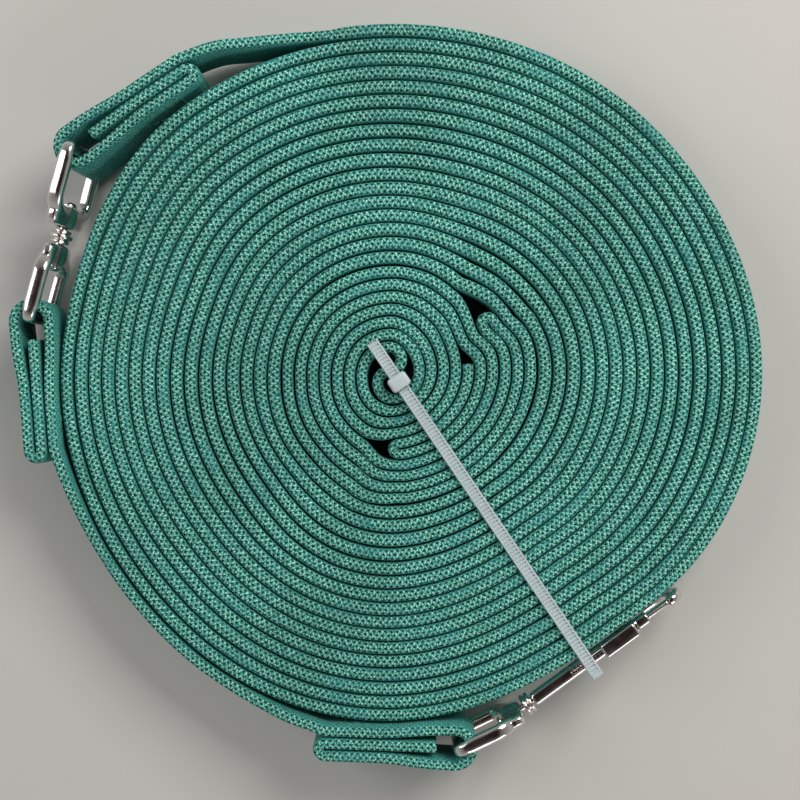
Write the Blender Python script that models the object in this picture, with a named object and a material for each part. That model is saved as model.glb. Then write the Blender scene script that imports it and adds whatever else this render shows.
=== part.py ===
"""A rolled-up training leash: one long line of 20 mm webbing, wound on edge into a flat roll around its own
hand loop, a short leader strap joined to it by a double swivel connector, a sliding-bolt snap hook on the
leader's end, and the cable tie that holds the roll and the snap together.

Units are metres and +Z is up. The roll lies on z = 0. All plan positions below are measured from the roll's
winding centre and moved to the object's own origin by ROLL_CENTRE.
"""
import math

import bmesh
import bpy
import numpy as np
from mathutils import Matrix, Vector

MM = 0.001

# ---- driving dimensions -------------------------------------------------------------------------------------
ROLL_CENTRE = (0.00104, 0.00392)    # winding centre, seen from the object's origin
GAP = 0.3 * MM                      # play between pieces that touch
CORE_GAP = 0.65 * MM                # play between the layers of the core, which bends more sharply
WEB_WIDTH = 20.0 * MM
WEB_THICKNESS = 3.2 * MM            # pulled tight, at the core and in the sewn ends
SEWN_PITCH = 3.5 * MM               # from one layer to the next in a sewn end
RAYS = 32                           # ribbon sections in one turn

FOLD_CENTRE = (-1.1 * MM, 5.9 * MM)     # the fold that the winding starts from
FOLD_RADIUS = 3.46 * MM
LAST_TURN = 19 * 360                # degrees of winding before the turn that the leader lies on
LEADER_GAP = 0.8 * MM
LINE_START, LINE_END = 124, 7300        # degrees: the line's own strand, fold to outer end
HAND_LOOP_END = 1111                    # degrees: the far bend of the flattened hand loop
HAND_LOOP_JOINT = 634                   # degrees: the fold at the hand loop's sewn joint
HAND_LOOP_TAIL = 732                    # degrees: where the webbing's cut end lies
CORE_LINE = ((124, 3.0), (180, 4.3), (225, 4.9), (270, 5.4), (300, 5.4), (330, 6.0), (360, 6.9),
             (390, 8.4), (405, 9.3), (420, 10.4), (435, 11.8), (450, 12.9))       # degrees, mm
CORE_RETURN = ((95, 9.4), (135, 9.6), (180, 8.7), (225, 8.9), (270, 8.7), (300, 8.4), (330, 9.1), (360, 10.3),
               (390, 11.9), (405, 12.8), (420, 13.9), (435, 15.3), (450, 16.4))   # degrees, mm
CORE_PITCH = ((0, 3.5), (90, 3.5), (180, 3.45), (240, 3.25), (285, 3.1), (330, 3.3), (360, 3.5))  # degrees, mm
ROLL_PITCH = ((0, 4.03), (30, 3.89), (60, 4.04), (90, 4.0), (115, 4.01), (135, 4.1), (158, 3.77), (180, 3.93),
              (225, 3.76), (270, 3.84), (290, 3.63), (303, 3.53), (312, 3.36), (322, 3.72), (332, 3.91),
              (360, 4.03))                                                        # degrees, mm

ROD_RADIUS = 1.8 * MM               # the cast loops' rods
LOOP_HALF_HEIGHT = WEB_WIDTH / 2 + GAP + ROD_RADIUS
AXIS_HEIGHT = LOOP_HALF_HEIGHT + ROD_RADIUS + 0.05 * MM
END_LIFT = AXIS_HEIGHT - WEB_WIDTH / 2  # the sewn ends ride this high in their loops
UPPER_BAR = (-88.0 * MM, 64.2 * MM)     # the connector bar that holds the long line
LOWER_BAR = (-100.6 * MM, 17.4 * MM)    # the connector bar that holds the leader
EYE_BAR = (18.4 * MM, -102.4 * MM)      # the snap's bar
UPPER_END_ANGLE = math.radians(36)      # the sewn ends' directions, away from their bars
LOWER_END_ANGLE = math.radians(-85.5)
EYE_END_ANGLE = math.radians(178)
UPPER_LEAN = math.radians(7)            # the upper loop leans away from the roll
WRAP_RADIUS = ROD_RADIUS + GAP + WEB_THICKNESS / 2 + 0.05 * MM
SEWN_LENGTH = 37.5 * MM             # bar to the folded end of the sewn stack
TAIL_START = 8.5 * MM               # bar to the cut end between the sewn layers

THREAD = 0.6 * MM
SEAM_LENGTH = 20.0 * MM
SEAM_HEIGHT = 14.0 * MM
SEAM_CENTRE = 22.0 * MM             # bar to the middle of a sewn end's seam
HAND_SEAM = 686                     # degrees: where the hand loop's short seam crosses the winding
HAND_SEAM_LENGTH = 6.0 * MM

SNAP_CENTRE = (38.3 * MM, -91.8 * MM)   # the snap's swivel collar
SNAP_ANGLE = math.radians(36.0)
BARREL_RADIUS = 2.05 * MM
BORE_RADIUS = 1.35 * MM
BOLT_RADIUS = 1.0 * MM
HOOK_RADIUS = 1.7 * MM
WEB_PLATE = (5.6 * MM, 3.2 * MM, 14.0 * MM)     # the plate between a loop's shoulders, round its pin
KNOB_SIZE = (11.6 * MM, 4.3 * MM, 2.6 * MM)
KNOB_START = 25.8 * MM

TIE_WIDTH = 3.4 * MM
TIE_THICKNESS = 1.1 * MM
TIE_ANGLE = math.radians(-55.9)
TIE_HEAD = (1.7 * MM, -0.6 * MM)
TIE_REACH = 99.6 * MM               # head to the outer run, along the tie
HEAD_SIZE = (4.2 * MM, 5.8 * MM, 4.0 * MM)

TEAL = (0.035, 0.30, 0.215)
THREAD_GREEN = (0.03, 0.22, 0.16)
NICKEL = (0.72, 0.69, 0.66)
NYLON = (0.78, 0.80, 0.86)


# ---- helpers ------------------------------------------------------------------------------------------------
def clear_scene():
    for obj in list(bpy.data.objects):
        bpy.data.objects.remove(obj, do_unlink=True)


def material(name, colour, roughness, metallic=0.0):
    made = bpy.data.materials.new(name)
    made.use_nodes = True
    shader = made.node_tree.nodes["Principled BSDF"]
    shader.inputs["Base Color"].default_value = (*colour, 1.0)
    shader.inputs["Roughness"].default_value = roughness
    shader.inputs["Metallic"].default_value = metallic
    return made


def add_object(name, bm, finish, smooth=False, cutter=False):
    """Turn a bmesh into a named object; a cutter is only a guide for a Boolean."""
    bmesh.ops.recalc_face_normals(bm, faces=bm.faces)
    mesh = bpy.data.meshes.new(name)
    bm.to_mesh(mesh)
    bm.free()
    obj = bpy.data.objects.new(name, mesh)
    bpy.context.scene.collection.objects.link(obj)
    if finish:
        mesh.materials.append(finish)
    if smooth:
        mesh.shade_smooth()
        mesh.set_sharp_from_angle(angle=math.radians(35))
    if cutter:
        obj.hide_render = True
        obj.display_type = "WIRE"
    return obj


def boolean(obj, other, operation):
    modifier = obj.modifiers.new(other.name, "BOOLEAN")
    modifier.operation = operation
    modifier.solver = "EXACT"
    modifier.object = other


def smoothstep(value, start, end):
    t = np.clip((np.asarray(value, dtype=float) - start) / (end - start), 0.0, 1.0)
    return t * t * (3.0 - 2.0 * t)


def polar(angle_degrees, radius):
    angle = math.radians(angle_degrees)
    return np.array((radius * math.cos(angle), radius * math.sin(angle)))


def smooth_curve(points, steps):
    """A Catmull-Rom curve through plan points, with some steps between each pair."""
    points = [np.array(p, dtype=float) for p in points]
    padded = [2 * points[0] - points[1]] + points + [2 * points[-1] - points[-2]]
    curve = []
    for a, b, c, d in zip(padded, padded[1:], padded[2:], padded[3:]):
        for step in range(steps):
            t = step / steps
            curve.append(0.5 * (2 * b + (c - a) * t + (2 * a - 5 * b + 4 * c - d) * t * t
                                + (3 * b - a - 3 * c + d) * t ** 3))
    curve.append(points[-1])
    return curve


def revolve(profile, sides, frame):
    """A closed solid turned from (axial, radius) points about the frame's X axis."""
    bm = bmesh.new()
    rings = []
    for axial, radius in profile:
        ring = []
        for k in range(sides):
            angle = math.tau * k / sides
            at = Vector((axial, radius * math.cos(angle), radius * math.sin(angle)))
            ring.append(bm.verts.new(frame @ at))
        rings.append(ring)
    hollow = profile[0] == profile[-1]
    if hollow:
        for vert in rings[-1]:
            bm.verts.remove(vert)
        rings[-1] = rings[0]
    for ring, after in zip(rings, rings[1:]):
        for k in range(sides):
            bm.faces.new((ring[k], ring[(k + 1) % sides], after[(k + 1) % sides], after[k]))
    if not hollow:
        bm.faces.new(rings[0])
        bm.faces.new(rings[-1])
    return bm


def sweep(path, radius, sides, frame, closed=False):
    """A round rod along a path in the frame's X-Z plane."""
    bm = bmesh.new()
    rings = []
    count = len(path)
    for i, (x, z) in enumerate(path):
        before = path[(i - 1) % count] if closed or i else path[i]
        after = path[(i + 1) % count] if closed or i < count - 1 else path[i]
        tangent = Vector((after[0] - before[0], 0, after[1] - before[1])).normalized()
        side = Vector((0, 1, 0))
        normal = side.cross(tangent)
        ring = []
        for k in range(sides):
            angle = math.tau * (k + 0.5) / sides
            offset = (side * math.cos(angle) + normal * math.sin(angle)) * radius
            ring.append(bm.verts.new(frame @ (Vector((x, 0, z)) + offset)))
        rings.append(ring)
    pairs = list(zip(rings, rings[1:]))
    if closed:
        pairs.append((rings[-1], rings[0]))
    for ring, after in pairs:
        for k in range(sides):
            bm.faces.new((ring[k], ring[(k + 1) % sides], after[(k + 1) % sides], after[k]))
    if not closed:
        bm.faces.new(rings[0])
        bm.faces.new(rings[-1])
    return bm


def box(size, centre, frame):
    bm = bmesh.new()
    bmesh.ops.create_cube(bm, size=1.0)
    scale = Matrix.Diagonal((*size, 1.0))
    bmesh.ops.transform(bm, matrix=frame @ Matrix.Translation(centre) @ scale, verts=bm.verts)
    return bm


def arc(centre, radius, start_degrees, end_degrees, steps):
    points = []
    for step in range(steps + 1):
        angle = math.radians(start_degrees + (end_degrees - start_degrees) * step / steps)
        points.append((centre[0] + radius * math.cos(angle), centre[1] + radius * math.sin(angle)))
    return points


def axis_frame(centre, angle, roll=0.0):
    """A frame on a swivel axis: X along the axis, Z up, at the height of the loops' middle."""
    place = Matrix.Translation((centre[0] + ROLL_CENTRE[0], centre[1] + ROLL_CENTRE[1], AXIS_HEIGHT))
    return place @ Matrix.Rotation(angle, 4, "Z") @ Matrix.Rotation(roll, 4, "X")


# ---- the winding --------------------------------------------------------------------------------------------
def spacing(angle):
    """From one layer to the next: tight in the core, looser in the outer turns, pulled in under the tie."""
    direction = angle % 360
    tight = float(np.interp(direction, *zip(*CORE_PITCH)))
    loose = float(np.interp(direction, *zip(*ROLL_PITCH)))
    return (tight + (loose - tight) * float(smoothstep(angle, 1300, 1660))) * MM


def winding():
    """Radii, for each degree of winding, of the line, the strand beside it, and the top of the layers.

    Each turn of the line lies on the top layer of the turn below. Over a part of the core, the hand loop adds
    layers to the two strands: its doubled webbing and, at its sewn joint, the cut tail."""
    degrees = np.arange(0, LINE_END + 1)
    line = np.interp(degrees, *zip(*CORE_LINE)) * MM
    beside = np.interp(degrees, *zip(*CORE_RETURN)) * MM
    layers = (1 + 2 * smoothstep(degrees, 584, 623) - smoothstep(degrees, 735, 765)
              - 2 * smoothstep(degrees, HAND_LOOP_END + 7, HAND_LOOP_END + 37))
    top = beside.copy()
    for angle in range(450, LINE_END + 1):
        under = angle - 360
        base = top[under]
        if angle > 1500:
            base = (top[under - 7] + 2 * base + top[under + 7]) / 4
        slope = (top[under + 3] - top[under - 3]) / math.radians(6) / base
        pitch = spacing(angle)
        line[angle] = base + pitch * math.sqrt(1 + slope * slope)
        beside[angle] = line[angle] + pitch
        top[angle] = line[angle] + layers[angle] * pitch
    return line, beside, top


def ray_angles(start, end):
    """The winding angles of the ribbon's sections between two angles, the same in every turn."""
    step = 360.0 / RAYS
    first = math.ceil(min(start, end) / step)
    last = math.floor(max(start, end) / step)
    angles = [k * step for k in range(first, last + 1)]
    return angles if end > start else angles[::-1]


def strand(radii, start, end):
    degrees = np.arange(len(radii))
    return [polar(a, float(np.interp(a, degrees, radii))) for a in ray_angles(start, end)]


def nose(angle, first, second, onward):
    """The half circle that joins two layers at a fold; onward is +1 where it bulges along the winding."""
    start, end = polar(angle, first[angle]), polar(angle, second[angle])
    middle = (np.array(first) + np.array(second)) / 2
    along = polar(angle + 4, middle[angle + 4]) - polar(angle - 4, middle[angle - 4])
    along *= onward / np.linalg.norm(along)
    skew = float(np.dot(start - end, along)) / 2
    across = (start - end) / 2 - along * skew
    centre = (start + end) / 2 + along * abs(skew)
    bulge = along * np.linalg.norm(across)
    turns = [math.pi * step / 8 for step in range(9)]
    return [centre + across * math.cos(turn) + bulge * math.sin(turn) for turn in turns]


def core_path(line, beside, top):
    """From the cut tail of the hand loop, through its folds, to the fold at the winding's centre."""
    tail = 2 * np.array(beside) - np.array(line)
    path = [polar(HAND_LOOP_TAIL, tail[HAND_LOOP_TAIL])]
    path += strand(tail, HAND_LOOP_TAIL - 5, HAND_LOOP_JOINT + 5)
    path += nose(HAND_LOOP_JOINT, tail, top, -1)
    path += strand(top, HAND_LOOP_JOINT + 5, HAND_LOOP_END - 5)
    path += nose(HAND_LOOP_END, top, beside, 1)
    path += strand(beside, HAND_LOOP_END - 5, CORE_RETURN[0][0])
    path += [np.array(p) for p in arc(FOLD_CENTRE, FOLD_RADIUS, 84, -99, 9)]
    return path


def end_point(bar, angle, side, along, across):
    """A plan point of a sewn end: along the stack from its bar, and across it on the standing layer's side."""
    e = polar(math.degrees(angle), 1.0)
    n = np.array((-e[1], e[0])) * side
    return np.array(bar) + e * along + n * across


def sewn_end(bar, angle, side):
    """The sewn end of a strap: in along the standing layer, round the bar, out and folded back to a cut end."""
    pitch = SEWN_PITCH
    points = [(x * MM, pitch) for x in (37, 32, 27, 22, 17, 12, 7)]
    turn = arc((0.0, 0.0), WRAP_RADIUS, 84, 276, 12)
    points += turn
    points += [(x * MM, -pitch) for x in (7, 12, 17, 22, 27, 32)]
    points += arc((SEWN_LENGTH, -pitch / 2), pitch / 2, -90, 90, 8)
    points += [(x * MM, 0.0) for x in (32, 27, 22, 17, 12)]
    points.append((TAIL_START, 0.0))
    return [end_point(bar, angle, side, x, y) for x, y in points]


def leader_path(line):
    """From the cut tail at the connector, round the outside of the roll, to the cut tail at the snap."""
    path = sewn_end(LOWER_BAR, LOWER_END_ANGLE, 1)[::-1]
    free = []
    for direction in (204, 214, 224, 234, 243):
        under = line[LAST_TURN + direction]
        free.append(polar(direction, under + WEB_THICKNESS + LEADER_GAP))
    free += [np.array((-31.5, -92.9)) * MM, np.array((-24.5, -95.5)) * MM]
    end = sewn_end(EYE_BAR, EYE_END_ANGLE, -1)
    curve = smooth_curve([path[-2], path[-1], *free, end[0], end[1]], 3)
    return path[:-1] + curve[3:-3] + end[1:]


def line_end_path(coil):
    """The outer end of the long line, from the last turn to the cut tail at the connector."""
    free = [np.array(p) * MM for p in ((-30.5, 95.6), (-42.0, 94.0), (-50.0, 92.8))]
    end = sewn_end(UPPER_BAR, UPPER_END_ANGLE, 1)
    curve = smooth_curve([coil[-2], coil[-1], *free, end[0], end[1]], 3)
    return curve[3:-3] + end[1:]


# ---- webbing ------------------------------------------------------------------------------------------------
def lean_away(point, height):
    """How far the upper sewn end leans with its loop: nothing at mid height or far from the bar."""
    axis = np.array(UPPER_BAR) - np.array(LOWER_BAR)
    axis /= np.linalg.norm(axis)
    outward = np.array((-axis[1], axis[0]))
    distance = np.linalg.norm(np.array(point) - np.array(UPPER_BAR))
    weight = 1.0 - float(smoothstep(distance, 18 * MM, 50 * MM))
    return outward * math.tan(UPPER_LEAN) * (height - AXIS_HEIGHT) * weight


def ribbon(name, path, thicknesses, lifts, leaning, finish):
    """A strap on edge: a closed band of the webbing's width along a plan path."""
    bm = bmesh.new()
    sections = []
    for i, point in enumerate(path):
        before = point - path[i - 1] if i else path[1] - point
        after = path[i + 1] - point if i < len(path) - 1 else before
        before, after = before / np.linalg.norm(before), after / np.linalg.norm(after)
        tangent = before + after
        tangent /= np.linalg.norm(tangent)
        normal = np.array((-tangent[1], tangent[0]))
        mitre = 1.0 / max(float(np.dot(tangent, after)), 0.8)
        section = []
        for side, height in ((1, 0), (1, 1), (-1, 1), (-1, 0)):
            at = point + normal * side * mitre * thicknesses[i] / 2
            z = lifts[i] + height * WEB_WIDTH
            if leaning[i]:
                at = at + lean_away(at, z)
            section.append(bm.verts.new((at[0] + ROLL_CENTRE[0], at[1] + ROLL_CENTRE[1], z)))
        sections.append(section)
    for section, following in zip(sections, sections[1:]):
        for k in range(4):
            bm.faces.new((section[k], section[(k + 1) % 4], following[(k + 1) % 4], following[k]))
    bm.faces.new(sections[0])
    bm.faces.new(sections[-1])
    return add_object(name, bm, finish)


def lifted(path, bar, full, none):
    """How high each section rides: END_LIFT near the bar, down to the floor further along the strap."""
    distances = [np.linalg.norm(point - np.array(bar)) for point in path]
    return END_LIFT * (1.0 - smoothstep(distances, full, none))


def long_line(finish, line, beside, top):
    core = core_path(line, beside, top)
    coil = strand(line, LINE_START, LINE_END)
    end = line_end_path(coil)
    path = core + coil[:-1] + end
    thick = []
    for point in core:
        direction = math.degrees(math.atan2(point[1], point[0])) % 360
        thick.append(spacing(direction) - CORE_GAP)
    for angle in ray_angles(LINE_START, LINE_END)[:-1]:
        slack = CORE_GAP + (GAP - CORE_GAP) * float(smoothstep(angle, 1300, 1660))
        thick.append(min(spacing(angle), spacing(angle + 360)) - slack)
    thick += [WEB_THICKNESS] * len(end)
    lifts = [0.0] * (len(path) - len(end)) + list(lifted(end, UPPER_BAR, 41 * MM, 74 * MM))
    leaning = [False] * (len(path) - len(end)) + [True] * len(end)
    return ribbon("main_strap", path, thick, lifts, leaning, finish)


def leader(finish, line):
    path = leader_path(line)
    lifts = np.maximum(lifted(path, LOWER_BAR, 42 * MM, 70 * MM), lifted(path, EYE_BAR, 42 * MM, 70 * MM))
    count = len(path)
    return ribbon("leader_strap", path, [WEB_THICKNESS] * count, lifts, [False] * count, finish)


def from_cells(xs, ys, zs, filled, place):
    """A closed solid of box cells between the given cuts; filled says which cells are solid."""
    cells = {(i, j, k) for i in range(len(xs) - 1) for j in range(len(ys) - 1) for k in range(len(zs) - 1)
             if filled(i, j, k)}
    bm = bmesh.new()
    corners = {}

    def corner(i, j, k):
        if (i, j, k) not in corners:
            corners[i, j, k] = bm.verts.new(place(xs[i], ys[j], zs[k]))
        return corners[i, j, k]

    walls = {(1, 0, 0): ((1, 0, 0), (1, 1, 0), (1, 1, 1), (1, 0, 1)),
             (-1, 0, 0): ((0, 0, 0), (0, 0, 1), (0, 1, 1), (0, 1, 0)),
             (0, 1, 0): ((0, 1, 0), (0, 1, 1), (1, 1, 1), (1, 1, 0)),
             (0, -1, 0): ((0, 0, 0), (1, 0, 0), (1, 0, 1), (0, 0, 1)),
             (0, 0, 1): ((0, 0, 1), (1, 0, 1), (1, 1, 1), (0, 1, 1)),
             (0, 0, -1): ((0, 0, 0), (0, 1, 0), (1, 1, 0), (1, 0, 0))}
    for i, j, k in sorted(cells):
        for (di, dj, dk), offsets in walls.items():
            if (i + di, j + dj, k + dk) not in cells:
                bm.faces.new([corner(i + a, j + b, k + c) for a, b, c in offsets])
    return bm


def seam_solid(length, height, depth, thread, margin, reach, place):
    """A box tack: a rectangle of thread on each face of a sewn stack, joined through it at the corners."""
    half_l, half_h, half_d = length / 2 + margin, height / 2 + margin, depth / 2
    inner = thread + 2 * margin
    xs = (-half_l, -half_l + inner, half_l - inner, half_l)
    zs = (-half_h, -half_h + inner, half_h - inner, half_h)
    ys = (-half_d - reach, -half_d + thread + margin, half_d - thread - margin, half_d + reach)

    def filled(i, j, k):
        if j == 1:
            return i != 1 and k != 1
        return i != 1 or k != 1

    return from_cells(xs, ys, zs, filled, place)


def add_seam(name, strap, place, size, finish):
    """The thread of one seam, and its channel in the strap."""
    length, depth = size
    thread = add_object(name, seam_solid(length, SEAM_HEIGHT, depth - 0.4 * MM, THREAD, 0.0, 0.0, place), finish)
    channel = add_object(name + "_channel", seam_solid(length, SEAM_HEIGHT, depth, THREAD + 0.2 * MM, GAP,
                                                       1.2 * MM, place), None, cutter=True)
    boolean(strap, channel, "DIFFERENCE")
    return thread


def end_place(bar, angle, side, leaning):
    """Places a seam's own axes, centred on the stack, into a sewn end."""
    def place(x, y, z):
        at = end_point(bar, angle, side, SEAM_CENTRE + x, y)
        height = AXIS_HEIGHT + z
        if leaning:
            at = at + lean_away(at, height)
        return (at[0] + ROLL_CENTRE[0], at[1] + ROLL_CENTRE[1], height)
    return place


def hand_loop_place(radius):
    """Places a seam's own axes in the doubled layers of the hand loop's joint."""
    outward, along = polar(HAND_SEAM, 1.0), polar(HAND_SEAM + 90, 1.0)

    def place(x, y, z):
        at = outward * (radius + y) + along * x
        return (at[0] + ROLL_CENTRE[0], at[1] + ROLL_CENTRE[1], WEB_WIDTH / 2 + z)
    return place


# ---- hardware -----------------------------------------------------------------------------------------------
def loop(name, frame, reach, bore, finish):
    """A cast rectangular loop: rods round a window, with a web plate and a boss that its swivel pin turns in."""
    height = LOOP_HALF_HEIGHT
    corner = 1.9 * MM
    half = arc((reach - corner, height - corner), corner, 0, 90, 3)
    half += [(15 * MM, height), (10.8 * MM, height), (7.8 * MM, height - 1.4 * MM), (6.4 * MM, height - 4.4 * MM)]
    path = half + [(x, -z) for x, z in reversed(half)]
    body = add_object(name, sweep(path, ROD_RADIUS, 8, frame, closed=True), finish, smooth=True)
    profile = ((2.4, 2.4), (3.0, 3.0), (7.8, 3.0), (8.4, 2.5))
    boss = add_object(name + "_boss", revolve([(x * MM, r * MM) for x, r in profile], 16, frame), None,
                      cutter=True)
    web = add_object(name + "_web", box(WEB_PLATE, (5.5 * MM, 0, 0), frame), None, cutter=True)
    hole = add_object(name + "_bore", revolve([(1 * MM, bore), (10 * MM, bore)], 16, frame), None, cutter=True)
    boolean(body, web, "UNION")
    boolean(body, boss, "UNION")
    boolean(body, hole, "DIFFERENCE")
    return body


def turned(name, profile, sides, frame, finish):
    points = [(x * MM, r * MM) for x, r in profile]
    return add_object(name, revolve(points, sides, frame), finish, smooth=True)


def connector(finish):
    """The double swivel: two loops that turn on one rivet, with a collar between them."""
    middle = ((UPPER_BAR[0] + LOWER_BAR[0]) / 2, (UPPER_BAR[1] + LOWER_BAR[1]) / 2)
    angle = math.atan2(UPPER_BAR[1] - LOWER_BAR[1], UPPER_BAR[0] - LOWER_BAR[0])
    reach = math.dist(UPPER_BAR, LOWER_BAR) / 2
    frame = axis_frame(middle, angle)
    loop("connector_upper_loop", axis_frame(middle, angle, -UPPER_LEAN), reach, 1.5 * MM, finish)
    loop("connector_lower_loop", axis_frame(middle, angle + math.pi), reach, 1.5 * MM, finish)
    head = ((8.7, 1.2), (8.7, 2.2), (9.3, 2.2), (9.9, 1.7), (10.2, 0.9))
    shank = [(-x, r) for x, r in reversed(head)] + list(head)
    turned("connector_rivet", shank, 16, frame, finish)
    ridge = ((-2.1, 1.5), (-2.1, 2.3), (-1.5, 2.7), (-0.9, 2.4), (-0.6, 3.1), (0.6, 3.1), (0.9, 2.4), (1.5, 2.7),
             (2.1, 2.3), (2.1, 1.5), (-2.1, 1.5))
    turned("connector_collar", ridge, 16, frame, finish)


def snap_eye(finish):
    """The snap's loop. It hangs a few degrees off the snap's axis, as the play of its stud allows."""
    direction = polar(math.degrees(SNAP_ANGLE), 1.0)
    pivot = np.array(SNAP_CENTRE) - direction * 5.4 * MM
    towards = np.array(EYE_BAR) - pivot
    reach = np.linalg.norm(towards) + 5.4 * MM
    start = np.array(EYE_BAR) - towards / np.linalg.norm(towards) * reach
    frame = axis_frame(start, math.atan2(towards[1], towards[0]))
    loop("snap_eye", frame, reach, 1.9 * MM, finish)


def snap_body(frame, finish):
    """The snap's casting: a slotted barrel for the bolt, and the hook that curves down and up to its tip."""
    full = BARREL_RADIUS / MM
    profile = ((1.7, 1.7), (2.1, full), (37.8, full), (38.4, 1.8), (41.6, 1.8), (42.0, 1.6))
    body = turned("snap_body", profile, 16, frame, finish)
    curve = ((31.0, -1.0), (33.6, -4.2), (34.9, -7.4), (37.2, -10.2), (41.0, -11.8), (45.4, -12.1),
             (49.4, -10.6), (51.9, -7.6), (52.5, -4.0), (52.1, -1.6), (50.9, -0.2), (48.9, 0.1))
    hook = add_object("snap_hook_rod", sweep([(x * MM, z * MM) for x, z in curve], HOOK_RADIUS, 8, frame), None,
                      cutter=True)
    bore = revolve(((6 * MM, BORE_RADIUS), (43 * MM, BORE_RADIUS)), 12, frame)
    rear = revolve(((1 * MM, 1.25 * MM), (7 * MM, 1.25 * MM)), 12, frame)
    recess = revolve(((48 * MM, 1.3 * MM), (49.7 * MM, 1.3 * MM)), 12, frame)
    slot = box((22.4 * MM, 2.0 * MM, 3 * MM), Vector((26.0, 0, 1.5)) * MM, frame)
    boolean(body, hook, "UNION")
    for name, cut in (("bore", bore), ("rear_bore", rear), ("tip_recess", recess), ("slot", slot)):
        boolean(body, add_object("snap_" + name, cut, None, cutter=True), "DIFFERENCE")


def snap_bolt(frame, finish):
    """The sliding bolt: a round rod with a thumb block on a neck that runs in the barrel's slot."""
    full = BOLT_RADIUS / MM
    rod = turned("snap_bolt", ((20.4, full), (48.8, full), (49.3, 0.7)), 12, frame, finish)
    neck = box((8.6 * MM, 1.4 * MM, 2.9 * MM), Vector((31.7, 0, 1.45)) * MM, frame)
    length, width, height = KNOB_SIZE
    knob = box(KNOB_SIZE, (KNOB_START + length / 2, 0, 2.4 * MM + height / 2), frame)
    bmesh.ops.bevel(knob, geom=list(knob.edges), offset=0.6 * MM, segments=1, affect="EDGES")
    boolean(rod, add_object("bolt_neck", neck, None, cutter=True), "UNION")
    boolean(rod, add_object("bolt_knob", knob, None, cutter=True), "UNION")


def bolt_spring(frame, finish):
    """The compression spring behind the bolt: an open helix of wire."""
    turns, steps, radius, wire = 6, 8, 0.85 * MM, 0.2 * MM
    start, end = 6.7 * MM, 19.9 * MM
    bm = bmesh.new()
    rings = []
    count = turns * steps
    pitch = (end - start) / turns
    for i in range(count + 1):
        angle = math.tau * i / steps
        centre = Vector((start + (end - start) * i / count, radius * math.cos(angle), radius * math.sin(angle)))
        tangent = Vector((pitch / math.tau, -radius * math.sin(angle), radius * math.cos(angle))).normalized()
        outward = Vector((0, math.cos(angle), math.sin(angle)))
        across = tangent.cross(outward)
        ring = []
        for k in range(4):
            turn = math.tau * (k + 0.5) / 4
            offset = (outward * math.cos(turn) + across * math.sin(turn)) * wire
            ring.append(bm.verts.new(frame @ (centre + offset)))
        rings.append(ring)
    for ring, after in zip(rings, rings[1:]):
        for k in range(4):
            bm.faces.new((ring[k], ring[(k + 1) % 4], after[(k + 1) % 4], after[k]))
    bm.faces.new(rings[0])
    bm.faces.new(rings[-1])
    add_object("bolt_spring", bm, finish)


def snap(finish, steel):
    frame = axis_frame(SNAP_CENTRE, SNAP_ANGLE)
    stud = ((-10.2, 0.9), (-9.9, 1.7), (-9.4, 2.0), (-9.0, 2.0), (-9.0, 0.95), (5.8, 0.95))
    turned("snap_stud", stud, 12, frame, finish)
    ridge = ((-1.4, 1.3), (-1.4, 2.3), (-1.0, 2.9), (-0.3, 2.9), (0.0, 2.4), (0.4, 2.8), (1.0, 2.8), (1.4, 2.3),
             (1.4, 1.3), (-1.4, 1.3))
    turned("snap_collar", ridge, 16, frame, finish)
    snap_body(frame, finish)
    snap_bolt(frame, finish)
    bolt_spring(frame, steel)


# ---- cable tie ----------------------------------------------------------------------------------------------
def tie_frame():
    place = Matrix.Translation((TIE_HEAD[0] + ROLL_CENTRE[0], TIE_HEAD[1] + ROLL_CENTRE[1], 0))
    return place @ Matrix.Rotation(TIE_ANGLE, 4, "Z")


def tie_band(frame):
    """The band: down the centre hole, under the roll, up outside the snap, back over the top to the head."""
    reach = TIE_REACH / MM
    path = [(0, 21.2), (0, 3.0), (0.6, 1.4), (2.2, 0.7), (reach - 3.4, 0.7), (reach - 1.5, 1.0),
            (reach - 0.3, 2.3), (reach, 4.2), (reach, 17.4), (reach - 0.4, 19.5), (reach - 1.9, 20.7),
            (reach - 4.0, 21.0), (25, 21.0), (12, 21.4), (6, 22.2), (2.6, 22.35), (-2.6, 22.35), (-8, 22.3),
            (-13.4, 21.9)]
    bm = bmesh.new()
    sections = []
    for i, (x, z) in enumerate(path):
        before = Vector(path[max(i - 1, 0)])
        after = Vector(path[min(i + 1, len(path) - 1)])
        here = Vector((x, z))
        into = (here - before).normalized() if i else (after - here).normalized()
        out = (after - here).normalized() if i < len(path) - 1 else into
        tangent = (into + out).normalized()
        mitre = 1.0 / max(tangent.dot(out), 0.8)
        normal = Vector((-tangent.y, tangent.x)) * mitre * TIE_THICKNESS / 2
        section = []
        for across, side in ((1, 1), (1, -1), (-1, -1), (-1, 1)):
            at = Vector((x * MM + normal.x * side, across * TIE_WIDTH / 2, z * MM + normal.y * side))
            section.append(bm.verts.new(frame @ at))
        sections.append(section)
    for section, following in zip(sections, sections[1:]):
        for k in range(4):
            bm.faces.new((section[k], section[(k + 1) % 4], following[(k + 1) % 4], following[k]))
    bm.faces.new(sections[0])
    bm.faces.new(sections[-1])
    return bm


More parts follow.
